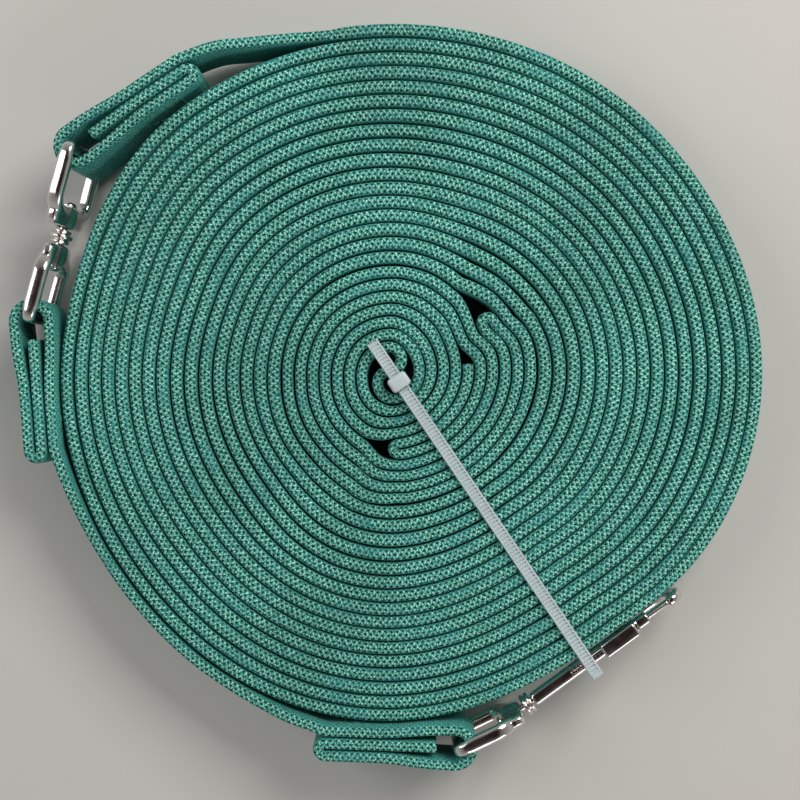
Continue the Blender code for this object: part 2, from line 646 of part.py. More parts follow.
def cable_tie(strap, finish):
    """The nylon tie, and the shallow dent it presses into the roll's underside."""
    frame = tie_frame()
    length, width, height = HEAD_SIZE
    base = 20.3 * MM
    xs = (-length / 2, length / 2)
    ys = (-width / 2, -TIE_WIDTH / 2 - GAP, TIE_WIDTH / 2 + GAP, width / 2)
    zs = (base, 21.5 * MM, 23.2 * MM, base + height)
    head = from_cells(xs, ys, zs, lambda i, j, k: (j, k) != (1, 1), lambda x, y, z: frame @ Vector((x, y, z)))
    tie = add_object("cable_tie", head, finish)
    boolean(tie, add_object("tie_band", tie_band(frame), None, cutter=True), "UNION")
    dent = box((108 * MM, TIE_WIDTH + 0.8 * MM, 2.6 * MM), Vector((52.0, 0, 0.3)) * MM, frame)
    boolean(strap, add_object("tie_dent", dent, None, cutter=True), "DIFFERENCE")


# ---- build --------------------------------------------------------------------------------------------------
def build():
    clear_scene()
    webbing = material("teal_webbing", TEAL, 0.85)
    thread = material("green_thread", THREAD_GREEN, 0.8)
    nickel = material("nickel_plate", NICKEL, 0.18, 1.0)
    steel = material("spring_steel", (0.55, 0.55, 0.56), 0.35, 1.0)
    nylon = material("white_nylon", NYLON, 0.4)
    line, beside, top = winding()
    strap = long_line(webbing, line, beside, top)
    short = leader(webbing, line)
    stack = 2 * SEWN_PITCH + WEB_THICKNESS
    add_seam("line_end_seam", strap, end_place(UPPER_BAR, UPPER_END_ANGLE, 1, True), (SEAM_LENGTH, stack), thread)
    add_seam("leader_upper_seam", short, end_place(LOWER_BAR, LOWER_END_ANGLE, 1, False), (SEAM_LENGTH, stack),
             thread)
    add_seam("leader_lower_seam", short, end_place(EYE_BAR, EYE_END_ANGLE, -1, False), (SEAM_LENGTH, stack),
             thread)
    pitch = spacing(HAND_SEAM)
    add_seam("hand_loop_seam", strap, hand_loop_place(line[HAND_SEAM] + 2 * pitch),
             (HAND_SEAM_LENGTH, 3 * pitch - GAP), thread)
    cable_tie(strap, nylon)
    connector(nickel)
    snap_eye(nickel)
    snap(nickel, steel)


build()
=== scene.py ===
import math

import bmesh
import bpy
import numpy as np
from mathutils import Matrix, Vector


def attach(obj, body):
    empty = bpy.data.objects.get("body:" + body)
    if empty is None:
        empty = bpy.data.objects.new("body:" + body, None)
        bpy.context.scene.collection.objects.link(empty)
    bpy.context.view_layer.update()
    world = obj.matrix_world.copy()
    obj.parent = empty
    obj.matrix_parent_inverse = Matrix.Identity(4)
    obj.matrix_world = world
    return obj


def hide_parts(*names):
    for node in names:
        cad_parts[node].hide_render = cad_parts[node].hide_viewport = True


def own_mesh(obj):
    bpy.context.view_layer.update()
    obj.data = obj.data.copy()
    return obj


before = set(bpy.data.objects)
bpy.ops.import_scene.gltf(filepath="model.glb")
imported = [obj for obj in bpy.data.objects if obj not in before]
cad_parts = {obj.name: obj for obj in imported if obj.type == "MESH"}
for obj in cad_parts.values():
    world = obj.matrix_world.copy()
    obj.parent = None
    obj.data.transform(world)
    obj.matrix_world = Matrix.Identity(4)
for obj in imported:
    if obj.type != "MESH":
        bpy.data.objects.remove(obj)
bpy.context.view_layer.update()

MM = 0.001

# ---- dimensions shared with the CAD part ------------------------------------------------------------------
ROLL_CENTRE = (0.00104, 0.00392)
GAP = 0.3 * MM
WEB_WIDTH = 20.0 * MM
WEB_THICKNESS = 3.2 * MM
SEWN_PITCH = 3.5 * MM
FOLD_CENTRE = (-1.1 * MM, 5.9 * MM)
FOLD_RADIUS = 3.46 * MM
LINE_START, LINE_END = 124, 7300
HAND_LOOP_END = 1111
HAND_LOOP_JOINT = 634
HAND_LOOP_TAIL = 732
LAST_TURN = 19 * 360                    # degrees of winding before the turn that the leader lies on
LEADER_GAP = 0.8 * MM
LOOSENING = (1300, 1660)                # degrees over which the core's pitch gives way to the roll's
CORE_END = 450                          # degrees: from here on each turn lies on the one before
EVENED_FROM = 1500                      # degrees: from here on a turn evens out the one it lies on
LINE_END_FADE = (41 * MM, 74 * MM)      # from a bar to where a strap's end comes down to its roll
LEADER_FADE = (42 * MM, 70 * MM)
LEAN_FADE = (18 * MM, 50 * MM)          # from the upper bar to where the strap stands upright

# The core's two strands, as radii in mm at degrees of winding, and the pitches of the turns, in mm at
# directions in degrees. ROLL_PITCH was solved by a scratch program, so that the last turn lies on the roll's
# outline as read from the photo. The other tables were chosen.
CORE_LINE = ((124, 3.0), (180, 4.3), (225, 4.9), (270, 5.4), (300, 5.4), (330, 6.0), (360, 6.9),
             (390, 8.4), (405, 9.3), (420, 10.4), (435, 11.8), (450, 12.9))
CORE_RETURN = ((95, 9.4), (135, 9.6), (180, 8.7), (225, 8.9), (270, 8.7), (300, 8.4), (330, 9.1), (360, 10.3),
               (390, 11.9), (405, 12.8), (420, 13.9), (435, 15.3), (450, 16.4))
CORE_PITCH = ((0, 3.5), (90, 3.5), (180, 3.45), (240, 3.25), (285, 3.1), (330, 3.3), (360, 3.5))
ROLL_PITCH = ((0, 4.03), (30, 3.89), (60, 4.04), (90, 4.0), (115, 4.01), (135, 4.1), (158, 3.77), (180, 3.93),
              (225, 3.76), (270, 3.84), (290, 3.63), (303, 3.53), (312, 3.36), (322, 3.72), (332, 3.91),
              (360, 4.03))

ROD_RADIUS = 1.8 * MM
LOOP_HALF_HEIGHT = WEB_WIDTH / 2 + GAP + ROD_RADIUS
AXIS_HEIGHT = LOOP_HALF_HEIGHT + ROD_RADIUS + 0.05 * MM
END_LIFT = AXIS_HEIGHT - WEB_WIDTH / 2
UPPER_BAR = (-88.0 * MM, 64.2 * MM)
LOWER_BAR = (-100.6 * MM, 17.4 * MM)
EYE_BAR = (18.4 * MM, -102.4 * MM)
UPPER_END_ANGLE = math.radians(36)
LOWER_END_ANGLE = math.radians(-85.5)
EYE_END_ANGLE = math.radians(178)
UPPER_LEAN = math.radians(7)
WRAP_RADIUS = ROD_RADIUS + GAP + WEB_THICKNESS / 2 + 0.05 * MM
SEWN_LENGTH = 37.5 * MM
SEAM_LENGTH = 20.0 * MM
SEAM_HEIGHT = 14.0 * MM
SEAM_CENTRE = 22.0 * MM
SNAP_CENTRE = (38.3 * MM, -91.8 * MM)
SNAP_ANGLE = math.radians(36.0)
KNOB_SIZE = (11.6, 4.3, 2.6)            # mm
KNOB_START = 25.8                       # mm
THUMB_FLOOR = 2.4                       # mm from the snap's axis to the underside of the thumb block
SPRING_SPAN = (6.7, 19.9)               # mm along the barrel
TIE_WIDTH = 3.4 * MM
TIE_THICKNESS = 1.1 * MM
TIE_ANGLE = math.radians(-55.9)
TIE_HEAD = (1.7 * MM, -0.6 * MM)
TIE_REACH = 99.6                        # mm
HEAD_SIZE = (4.2, 5.8, 4.0)             # mm
HEAD_FLOOR = 20.3                       # mm

# ---- dimensions of the looks ------------------------------------------------------------------------------
TIGHT_PITCH = ((0, 3.5), (35, 3.45), (52, 3.8), (70, 3.7), (90, 3.5), (180, 3.45), (225, 3.5), (245, 3.75),
               (258, 3.5), (272, 3.1), (285, 3.1), (330, 3.3), (360, 3.5))  # a snugger CORE_PITCH
SNUG_FADE = (1500, 3300)                # degrees over which the snug core gives way to the CAD's winding
TAIL_START = 6.3 * MM                   # bar to the cut end between the sewn layers; in the CAD it is 8.5 mm
WEAVE_PITCH = 1.65 * MM                 # one woven cell along the webbing
WEAVE_ROW = 1.0                         # mm between rows of cells across its edge
EDGE_ZONE = 2.3                         # mm: smaller weave coordinates lie on the woven edges
PIT_DEPTH = 0.2 * MM
WRAP_BULGE = 1.15 * MM                  # how far a strap stands off the bar that it goes round
LEAN = math.radians(1.3)                # how far the wound strands tip to and fro
HEAVE = 0.45 * MM                       # how far they ride up and down
SWAY_START = (700, 1500)                # degrees over which the lean and the heave grow to full
SWAY_STOP = (LINE_END - 480, LINE_END - 380)    # degrees over which they fade out
ARC_STEP = 2                            # degrees between points of the winding
STITCH_RADIUS = 0.34                    # mm
BAND_STEP = 0.27                        # mm between the sections of the tie's band

CAMERA_HEIGHT = 430 * MM
CAMERA_PLACE = (3.0 * MM, -1.68 * MM)
CAMERA_ANGLE = 2 * math.atan(112 / 410)     # 112 mm to each side, 410 mm away


# ---- scene ------------------------------------------------------------------------------------------------
def camera():
    data = bpy.data.cameras.new("view")
    data.angle = CAMERA_ANGLE
    data.clip_start = 0.01
    made = bpy.data.objects.new("view", data)
    made.location = (*CAMERA_PLACE, CAMERA_HEIGHT)
    bpy.context.scene.collection.objects.link(made)
    bpy.context.scene.camera = made


def softbox(name, place, size, power, colour):
    data = bpy.data.lights.new(name, "AREA")
    data.shape = "RECTANGLE"
    data.size, data.size_y = size
    data.energy = power
    data.color = colour
    made = bpy.data.objects.new(name, data)
    made.location = place
    made.rotation_euler = (-Vector(place)).to_track_quat("-Z", "Y").to_euler()
    bpy.context.scene.collection.objects.link(made)


def lights():
    softbox("key", (0.46, 0.54, 0.66), (0.55, 0.45), 6.4, (1.0, 0.98, 0.95))
    softbox("fill", (-0.62, 0.20, 0.55), (0.4, 0.6), 2.0, (0.97, 0.98, 1.0))
    softbox("low", (0.45, -0.65, 0.45), (0.6, 0.35), 1.7, (1.0, 0.99, 0.97))
    world = bpy.data.worlds.new("studio")
    bpy.context.scene.world = world
    world.use_nodes = True
    g = Graph(world.node_tree)
    place = g.node("ShaderNodeTexCoord").outputs["Generated"]
    height = g.split(place)[2]
    sky = g.ramp(height, ((0.0, (0.95, 0.92, 0.89)), (0.3, (0.85, 0.84, 0.82)), (0.8, (0.45, 0.42, 0.41)),
                          (0.96, (0.05, 0.032, 0.028))))
    background = world.node_tree.nodes["Background"]
    world.node_tree.links.new(sky, background.inputs["Color"])
    background.inputs["Strength"].default_value = 0.42


# ---- node graphs ------------------------------------------------------------------------------------------
class Graph:
    """Short calls for building a node tree."""

    def __init__(self, tree):
        self.tree = tree

    def node(self, kind, inputs=None, **settings):
        made = self.tree.nodes.new(kind)
        for key, value in settings.items():
            setattr(made, key, value)
        for key, value in (inputs or {}).items():
            self.put(made.inputs[key], value)
        return made

    def put(self, socket, value):
        if isinstance(value, bpy.types.NodeSocket):
            self.tree.links.new(value, socket)
        elif isinstance(value, tuple) and len(value) == 3 and socket.type == "RGBA":
            socket.default_value = (*value, 1.0)
        else:
            socket.default_value = value

    def math(self, operation, first, second=None, third=None):
        made = self.node("ShaderNodeMath", operation=operation)
        for socket, value in zip(made.inputs, (first, second, third)):
            if value is not None:
                self.put(socket, value)
        return made.outputs[0]

    def split(self, vector):
        return self.node("ShaderNodeSeparateXYZ", {0: vector}).outputs

    def join(self, x, y, z=0.0):
        return self.node("ShaderNodeCombineXYZ", {0: x, 1: y, 2: z}).outputs[0]

    def noise(self, vector, scale, detail=2.0):
        made = self.node("ShaderNodeTexNoise", {"Vector": vector, "Scale": scale, "Detail": detail})
        return made.outputs[0]

    def range(self, value, low, high, out_low=0.0, out_high=1.0):
        made = self.node("ShaderNodeMapRange", interpolation_type="SMOOTHSTEP")
        for key, given in zip(("Value", "From Min", "From Max", "To Min", "To Max"),
                              (value, low, high, out_low, out_high)):
            self.put(made.inputs[key], given)
        return made.outputs[0]

    def mix(self, factor, first, second):
        made = self.node("ShaderNodeMix", data_type="RGBA")
        self.put(made.inputs[0], factor)
        self.put(made.inputs[6], first)
        self.put(made.inputs[7], second)
        return made.outputs[2]

    def ramp(self, value, stops):
        made = self.node("ShaderNodeValToRGB", {0: value})
        elements = made.color_ramp.elements
        while len(elements) < len(stops):
            elements.new(0.5)
        for element, (at, colour) in zip(elements, stops):
            element.position = at
            element.color = (*colour, 1.0)
        return made.outputs[0]

    def bump(self, height, strength, distance):
        made = self.node("ShaderNodeBump", {"Strength": strength, "Distance": distance, "Height": height})
        return made.outputs[0]


def surface(name, roughness, metallic=0.0):
    """A new material with its graph and its shader."""
    made = bpy.data.materials.new(name)
    made.use_nodes = True
    shader = made.node_tree.nodes["Principled BSDF"]
    shader.inputs["Roughness"].default_value = roughness
    shader.inputs["Metallic"].default_value = metallic
    return made, Graph(made.node_tree), shader


# ---- materials --------------------------------------------------------------------------------------------
def webbing_material():
    """Teal tubular webbing. Its weave map holds cells along the strap and mm across its edge; the faces start
    at 3."""
    made, g, shader = surface("webbing", 0.62)
    along, across = g.split(g.node("ShaderNodeUVMap", uv_map="weave").outputs[0])[:2]
    place = g.join(g.math("MULTIPLY", along, WEAVE_PITCH / MM), across)
    drift = g.node("ShaderNodeTexNoise", {"Vector": place, "Scale": 0.9, "Detail": 1.0}).outputs["Color"]
    drift_x, drift_y = g.split(drift)[:2]
    u = g.math("MULTIPLY_ADD", drift_x, 0.36, g.math("ADD", along, -0.18))
    v = g.math("MULTIPLY_ADD", drift_y, 0.5, g.math("ADD", across, -0.25))
    row = g.math("DIVIDE", v, WEAVE_ROW)
    nearest = g.math("ROUND", row)
    off_row = g.math("SUBTRACT", row, nearest)
    staggered = g.math("ADD", u, g.math("MULTIPLY_ADD", g.math("ABSOLUTE", nearest), 0.5, 0.5))
    cell = g.math("SUBTRACT", staggered, g.math("ROUND", staggered))
    cell_mm = g.math("MULTIPLY", cell, WEAVE_PITCH / MM)
    hook = g.math("MULTIPLY_ADD", g.math("ABSOLUTE", off_row), -0.55, cell_mm)
    distance = g.node("ShaderNodeVectorMath", {0: g.join(hook, off_row)}, operation="LENGTH").outputs[1]
    pit = g.range(distance, 0.44, 0.2)
    chevron_phase = g.math("MULTIPLY_ADD", g.math("ABSOLUTE", off_row), 1.1, g.math("MULTIPLY", cell, 2.0))
    chevron = g.math("MULTIPLY_ADD", g.math("SINE", g.math("MULTIPLY", chevron_phase, math.tau)), 0.5, 0.5)
    speck = g.range(g.noise(place, 1.5, 3.0), 0.36, 0.62)
    fleck_and_glint = g.math("MULTIPLY", chevron, speck)
    rib = g.math("SINE", g.math("MULTIPLY", across, math.tau / 0.95))
    twill_phase = g.math("MULTIPLY_ADD", along, 2.0, g.math("MULTIPLY", across, 0.55))
    twill = g.math("SINE", g.math("MULTIPLY", twill_phase, math.tau))
    face = g.math("MULTIPLY_ADD", g.math("MULTIPLY", rib, twill), 0.35, 0.5)
    on_edge = g.range(g.math("ABSOLUTE", across), EDGE_ZONE + 0.1, EDGE_ZONE - 0.1)
    patches = g.noise(g.node("ShaderNodeTexCoord").outputs["Object"], 28.0, 3.0)
    # the bright end of this mix is partly the woven edge's lighter threads and partly a painted glint on them
    edge_colour = g.mix(fleck_and_glint, (0.014, 0.205, 0.160), (0.46, 0.98, 0.83))
    # painted shade: the weave's pits are darkened to near black, as shade falls in them
    edge_colour = g.mix(pit, edge_colour, (0.0, 0.010, 0.008))
    face_colour = g.mix(face, (0.004, 0.140, 0.130), (0.045, 0.36, 0.33))
    face_colour = g.mix(0.45, face_colour, edge_colour)
    colour = g.mix(on_edge, face_colour, edge_colour)
    blotches = g.noise(g.join(g.math("MULTIPLY", along, 0.09), g.math("MULTIPLY", across, 0.2)), 1.3, 1.0)
    colour = g.mix(g.range(blotches, 0.5, 0.72, 0.0, 0.35), colour, (0.03, 0.24, 0.27))
    shade = g.range(patches, 0.3, 0.7, 0.88, 1.16)
    tinted = g.node("ShaderNodeVectorMath", {0: colour}, operation="SCALE")
    g.put(tinted.inputs["Scale"], shade)
    g.put(shader.inputs["Base Color"], tinted.outputs[0])
    raised = g.math("SUBTRACT", g.math("MULTIPLY", fleck_and_glint, 0.5), pit)
    softened = g.math("MULTIPLY_ADD", raised, 0.5, face)
    height = g.mix(on_edge, g.join(softened, softened, softened), g.join(raised, raised, raised))
    g.put(shader.inputs["Normal"], g.bump(height, 0.7, 0.25 * MM))
    g.put(shader.inputs["Roughness"], g.range(fleck_and_glint, 0.0, 1.0, 0.72, 0.45))
    shader.inputs["Specular IOR Level"].default_value = 0.2
    shader.inputs["Sheen Weight"].default_value = 0.05
    shader.inputs["Sheen Tint"].default_value = (0.5, 0.85, 0.8, 1.0)
    return made


def thread_material():
    made, g, shader = surface("thread", 0.6)
    place = g.node("ShaderNodeTexCoord").outputs["Object"]
    twist = g.node("ShaderNodeTexWave", {"Vector": place, "Scale": 900.0, "Distortion": 1.5}).outputs[1]
    g.put(shader.inputs["Base Color"], g.mix(twist, (0.02, 0.16, 0.12), (0.06, 0.32, 0.25)))
    g.put(shader.inputs["Normal"], g.bump(twist, 0.5, 0.1 * MM))
    return made


def nickel_material():
    made, g, shader = surface("nickel", 0.12, 1.0)
    place = g.node("ShaderNodeTexCoord").outputs["Object"]
    cloud = g.noise(place, 180.0, 3.0)
    grain = g.noise(place, 2200.0, 2.0)
    g.put(shader.inputs["Base Color"], g.mix(cloud, (0.74, 0.70, 0.67), (0.84, 0.81, 0.78)))
    g.put(shader.inputs["Roughness"], g.range(cloud, 0.3, 0.7, 0.08, 0.2))
    g.put(shader.inputs["Normal"], g.bump(grain, 0.06, 0.05 * MM))
    return made


def steel_material():
    made, g, shader = surface("spring_wire", 0.3, 1.0)
    place = g.node("ShaderNodeTexCoord").outputs["Object"]
    cloud = g.noise(place, 600.0, 3.0)
    g.put(shader.inputs["Base Color"], g.mix(cloud, (0.45, 0.44, 0.43), (0.6, 0.6, 0.6)))
    g.put(shader.inputs["Roughness"], g.range(cloud, 0.3, 0.7, 0.25, 0.4))
    return made


def nylon_material():
    made, g, shader = surface("nylon", 0.35)
    place = g.node("ShaderNodeTexCoord").outputs["Object"]
    cloud = g.noise(place, 140.0, 3.0)
    g.put(shader.inputs["Base Color"], g.mix(cloud, (0.60, 0.72, 0.74), (0.74, 0.83, 0.85)))
    g.put(shader.inputs["Roughness"], g.range(cloud, 0.3, 0.7, 0.28, 0.42))
    g.put(shader.inputs["Normal"], g.bump(g.noise(place, 1500.0), 0.1, 0.05 * MM))
    shader.inputs["Transmission Weight"].default_value = 0.22
    shader.inputs["IOR"].default_value = 1.5
    shader.inputs["Subsurface Weight"].default_value = 0.2
    shader.inputs["Subsurface Scale"].default_value = 1.0 * MM
    return made


def floor_material():
    made, g, shader = surface("floor", 0.6)
    place = g.node("ShaderNodeTexCoord").outputs["Object"]
    cloud = g.noise(place, 6.0, 4.0)
    g.put(shader.inputs["Base Color"], g.mix(cloud, (0.56, 0.54, 0.51), (0.62, 0.60, 0.575)))
    g.put(shader.inputs["Normal"], g.bump(g.noise(place, 400.0), 0.05, 0.2 * MM))
    return made


# ---- shapes -----------------------------------------------------------------------------------------------
def add_object(name, bm, finish):
    bmesh.ops.recalc_face_normals(bm, faces=bm.faces)
    mesh = bpy.data.meshes.new(name)
    bm.to_mesh(mesh)
    bm.free()
    return add_mesh(name, mesh, finish)


def add_mesh(name, mesh, finish):
    made = bpy.data.objects.new(name, mesh)
    bpy.context.scene.collection.objects.link(made)
    if finish:
        mesh.materials.append(finish)
    mesh.shade_smooth()
    return made


def applied(obj):
    """Replaces an object's mesh with what its modifiers make of it."""
    graph = bpy.context.evaluated_depsgraph_get()
    mesh = bpy.data.meshes.new_from_object(obj.evaluated_get(graph), depsgraph=graph)
    obj.modifiers.clear()
    obj.data = mesh


def cut(obj, others):
    """Takes other closed meshes out of an object, and removes them."""
    for other in others:
        modifier = obj.modifiers.new("cut", "BOOLEAN")
        modifier.operation = "DIFFERENCE"
        modifier.solver = "EXACT"
        modifier.object = other
    applied(obj)
    for other in others:
        bpy.data.objects.remove(other, do_unlink=True)


def fuse(obj, voxel, rounds):
    """Melts an object's overlapping shells into one casting with small fillets."""
    remesh = obj.modifiers.new("remesh", "REMESH")
    remesh.mode = "VOXEL"
    remesh.voxel_size = voxel
    smooth = obj.modifiers.new("smooth", "SMOOTH")
    smooth.factor = 0.5
    smooth.iterations = rounds
    applied(obj)
    obj.data.shade_smooth()


def smoothstep(value, start, end):
    t = np.clip((np.asarray(value, dtype=float) - start) / (end - start), 0.0, 1.0)
    return t * t * (3.0 - 2.0 * t)


def polar(angle_degrees, radius):
    angle = math.radians(angle_degrees)
    return np.array((radius * math.cos(angle), radius * math.sin(angle)))


def arc(centre, radius, start_degrees, end_degrees, steps):
    points = []
    for step in range(steps + 1):
        angle = math.radians(start_degrees + (end_degrees - start_degrees) * step / steps)
        points.append((centre[0] + radius * math.cos(angle), centre[1] + radius * math.sin(angle)))
    return points


def smooth_curve(points, steps):
    """A Catmull-Rom curve through points, with some steps between each pair."""
    points = [np.array(p, dtype=float) for p in points]
    padded = [2 * points[0] - points[1]] + points + [2 * points[-1] - points[-2]]
    curve = []
    for a, b, c, d in zip(padded, padded[1:], padded[2:], padded[3:]):
        for step in range(steps):
            t = step / steps
            curve.append(0.5 * (2 * b + (c - a) * t + (2 * a - 5 * b + 4 * c - d) * t * t
                                + (3 * b - a - 3 * c + d) * t ** 3))
    curve.append(points[-1])
    return curve


def axis_frame(centre, angle, roll=0.0):
    place = Matrix.Translation((centre[0] + ROLL_CENTRE[0], centre[1] + ROLL_CENTRE[1], AXIS_HEIGHT))
    return place @ Matrix.Rotation(angle, 4, "Z") @ Matrix.Rotation(roll, 4, "X")


def skin(bm, rings, closed=False):
    """Joins rings of vertices into a tube, with end caps unless it closes on itself."""
    count = len(rings[0])
    pairs = list(zip(rings, rings[1:]))
    if closed:
        pairs.append((rings[-1], rings[0]))
    for ring, after in pairs:
        for k in range(count):
            bm.faces.new((ring[k], ring[(k + 1) % count], after[(k + 1) % count], after[k]))
    if not closed:
        bm.faces.new(rings[0])
        bm.faces.new(rings[-1])


def turned(bm, profile, sides, frame_):
    """Adds a solid turned from (axial, radius) points in mm; a hollow one ends where it began."""
    hollow = profile[0] == profile[-1]
    rings = []
    for axial, radius in profile[:-1] if hollow else profile:
        ring = []
        for k in range(sides):
            angle = math.tau * k / sides
            at = Vector((axial * MM, radius * MM * math.cos(angle), radius * MM * math.sin(angle)))
            ring.append(bm.verts.new(frame_ @ at))
        rings.append(ring)
    skin(bm, rings, closed=hollow)


def swept(bm, path, half, squareness, sides, frame_, closed=False, thickness=None):
    """Adds a bar along (x, z) points in mm; squareness 2 is round, and more is squarer. Its half width across
    the x-z plane and its half thickness in it are one number, or one for each point."""
    rings = []
    count = len(path)
    for i, (x, z) in enumerate(path):
        before = path[(i - 1) % count] if closed or i else path[i]
        after = path[(i + 1) % count] if closed or i < count - 1 else path[i]
        tangent = Vector((after[0] - before[0], 0, after[1] - before[1])).normalized()
        side = Vector((0, 1, 0))
        normal = side.cross(tangent)
        wide = half[i] if hasattr(half, "__len__") else half
        thick = wide if thickness is None else thickness
        thick = thick[i] if hasattr(thick, "__len__") else thick
        ring = []
        for k in range(sides):
            angle = math.tau * (k + 0.5) / sides
            c, s = math.cos(angle), math.sin(angle)
            a = math.copysign(abs(c) ** (2 / squareness), c) * wide
            b = math.copysign(abs(s) ** (2 / squareness), s) * thick
            ring.append(bm.verts.new(frame_ @ ((Vector((x, 0, z)) + side * a + normal * b) * MM)))
        rings.append(ring)
    skin(bm, rings, closed)


def block(size, centre, frame_, bevel):
    """A box in mm with rounded edges."""
    bm = bmesh.new()
    bmesh.ops.create_cube(bm, size=1.0)
    place = Matrix.Translation(Vector(centre) * MM) @ Matrix.Diagonal((*(Vector(size) * MM), 1.0))
    bmesh.ops.transform(bm, matrix=frame_ @ place, verts=bm.verts)
    if bevel:
        bmesh.ops.bevel(bm, geom=list(bm.edges), offset=bevel * MM, segments=4, profile=0.5, affect="EDGES")
    return bm


# ---- the winding ------------------------------------------------------------------------------------------
def spacing(angle, core=TIGHT_PITCH):
    direction = angle % 360
    tight = float(np.interp(direction, *zip(*core)))
    loose = float(np.interp(direction, *zip(*ROLL_PITCH)))
    return (tight + (loose - tight) * float(smoothstep(angle, *LOOSENING))) * MM


def wound(core, layers):
    """Radii, for each degree of winding, of the line, the strand beside it, and the top of the layers."""
    degrees = np.arange(0, LINE_END + 1)
    line = np.interp(degrees, *zip(*CORE_LINE)) * MM
    beside = np.interp(degrees, *zip(*CORE_RETURN)) * MM
    top = beside.copy()
    for angle in range(CORE_END, LINE_END + 1):
        under = angle - 360
        base = top[under]
        if angle > EVENED_FROM:
            base = (top[under - 7] + 2 * base + top[under + 7]) / 4
        slope = (top[under + 3] - top[under - 3]) / math.radians(6) / base
        pitch = spacing(angle, core)
        line[angle] = base + pitch * math.sqrt(1 + slope * slope)
        beside[angle] = line[angle] + pitch
        top[angle] = line[angle] + layers[angle] * pitch
    return np.array((line, beside, top))


def winding():
    """The CAD's winding, with a core that closes up more snugly round the hand loop's folds."""
    degrees = np.arange(0, LINE_END + 1)
    layers = (1 + 2 * smoothstep(degrees, 584, 623) - smoothstep(degrees, 735, 765)
              - 2 * smoothstep(degrees, HAND_LOOP_END + 7, HAND_LOOP_END + 37))
    snug = (1 + 2 * smoothstep(degrees, 603, 637) - smoothstep(degrees, 731, 750)
            - 2 * smoothstep(degrees, HAND_LOOP_END - 2, HAND_LOOP_END + 26))
    share = smoothstep(degrees, *SNUG_FADE)
    return wound(TIGHT_PITCH, snug) * (1 - share) + wound(CORE_PITCH, layers) * share


def ray_angles(start, end):
    first = math.ceil(min(start, end) / ARC_STEP)
    last = math.floor(max(start, end) / ARC_STEP)
    angles = [k * ARC_STEP for k in range(first, last + 1)]
    return angles if end > start else angles[::-1]


def strand(radii, start, end):
    return [polar(a, float(radii[a])) for a in ray_angles(start, end)]


def nose(angle, first, second, onward):
    """The half circle that joins two layers at a fold; onward is +1 where it bulges along the winding."""
    start, end = polar(angle, first[angle]), polar(angle, second[angle])
    middle = (np.array(first) + np.array(second)) / 2
    along = polar(angle + 4, middle[angle + 4]) - polar(angle - 4, middle[angle - 4])
    along *= onward / np.linalg.norm(along)
    skew = float(np.dot(start - end, along)) / 2
    across = (start - end) / 2 - along * skew
    centre = (start + end) / 2 + along * abs(skew)
    bulge = along * np.linalg.norm(across)
    turns = [math.pi * step / 12 for step in range(13)]
    return [centre + across * math.cos(turn) + bulge * math.sin(turn) for turn in turns]


def core_path(line, beside, top):
    """From the cut tail of the hand loop, through its folds, to the fold at the winding's centre."""
    tail = 2 * np.array(beside) - np.array(line)
    path = [polar(HAND_LOOP_TAIL, tail[HAND_LOOP_TAIL])]
    path += strand(tail, HAND_LOOP_TAIL - 5, HAND_LOOP_JOINT + 3)
    path += nose(HAND_LOOP_JOINT, tail, top, -1)
    path += strand(top, HAND_LOOP_JOINT + 3, HAND_LOOP_END - 3)
    path += nose(HAND_LOOP_END, top, beside, 1)
    path += strand(beside, HAND_LOOP_END - 3, CORE_RETURN[0][0])
    path += [np.array(p) for p in arc(FOLD_CENTRE, FOLD_RADIUS, 84, -99, 24)]
    return path


def end_point(bar, angle, side, along, across):
    e = polar(math.degrees(angle), 1.0)
    n = np.array((-e[1], e[0])) * side
    return np.array(bar) + e * along + n * across


def sewn_end(bar, angle, side):
    """A strap's sewn end: in along the standing layer, round the bar, out and folded back to a cut end."""
    pitch = SEWN_PITCH
    inward = ((7, 1.1), (12, 0.75), (17, 0.25), (22, 0.0), (27, 0.0), (32, 0.0))
    points = [(37 * MM, pitch)] + [(x * MM, pitch + b * WRAP_BULGE) for x, b in reversed(inward)]
    points += arc((WRAP_BULGE, 0.0), WRAP_RADIUS + WRAP_BULGE, 80, 280, 24)
    points += [(x * MM, -pitch - b * WRAP_BULGE) for x, b in inward]
    points += arc((SEWN_LENGTH, -pitch / 2), pitch / 2, -90, 90, 12)
    points += [(x * MM, 0.0) for x in (32, 27, 22, 17, 12)]
    points.append((TAIL_START, 0.0))
    return [end_point(bar, angle, side, x, y) for x, y in points]


def leader_path(line):
    """From the cut tail at the connector, round the outside of the roll, to the cut tail at the snap."""
    path = sewn_end(LOWER_BAR, LOWER_END_ANGLE, 1)[::-1]
    free = []
    for direction in (204, 214, 224, 234, 243):
        under = line[LAST_TURN + direction]
        free.append(polar(direction, under + WEB_THICKNESS + LEADER_GAP))
    free += [np.array((-31.5, -92.9)) * MM, np.array((-24.5, -95.5)) * MM]
    end = sewn_end(EYE_BAR, EYE_END_ANGLE, -1)
    curve = smooth_curve([path[-2], path[-1], *free, end[0], end[1]], 6)
    return path[:-1] + curve[6:-6] + end[1:]


def line_end_path(coil):
    """The outer end of the long line, from the last turn to the cut tail at the connector."""
    free = [np.array(p) * MM for p in ((-30.5, 95.6), (-42.0, 94.0), (-50.0, 92.8))]
    end = sewn_end(UPPER_BAR, UPPER_END_ANGLE, 1)
    curve = smooth_curve([coil[-2], coil[-1], *free, end[0], end[1]], 6)
    return curve[6:-6] + end[1:]


def lean_away(point, height):
    """How far the upper sewn end leans with its loop: nothing at mid height or far from the bar."""
    axis = np.array(UPPER_BAR) - np.array(LOWER_BAR)
    axis /= np.linalg.norm(axis)
    outward = np.array((-axis[1], axis[0]))
    distance = np.linalg.norm(np.array(point) - np.array(UPPER_BAR), axis=-1)
    weight = 1.0 - smoothstep(distance, *LEAN_FADE)
    shift = math.tan(UPPER_LEAN) * (height - AXIS_HEIGHT) * weight
    return np.asarray(shift)[..., None] * outward


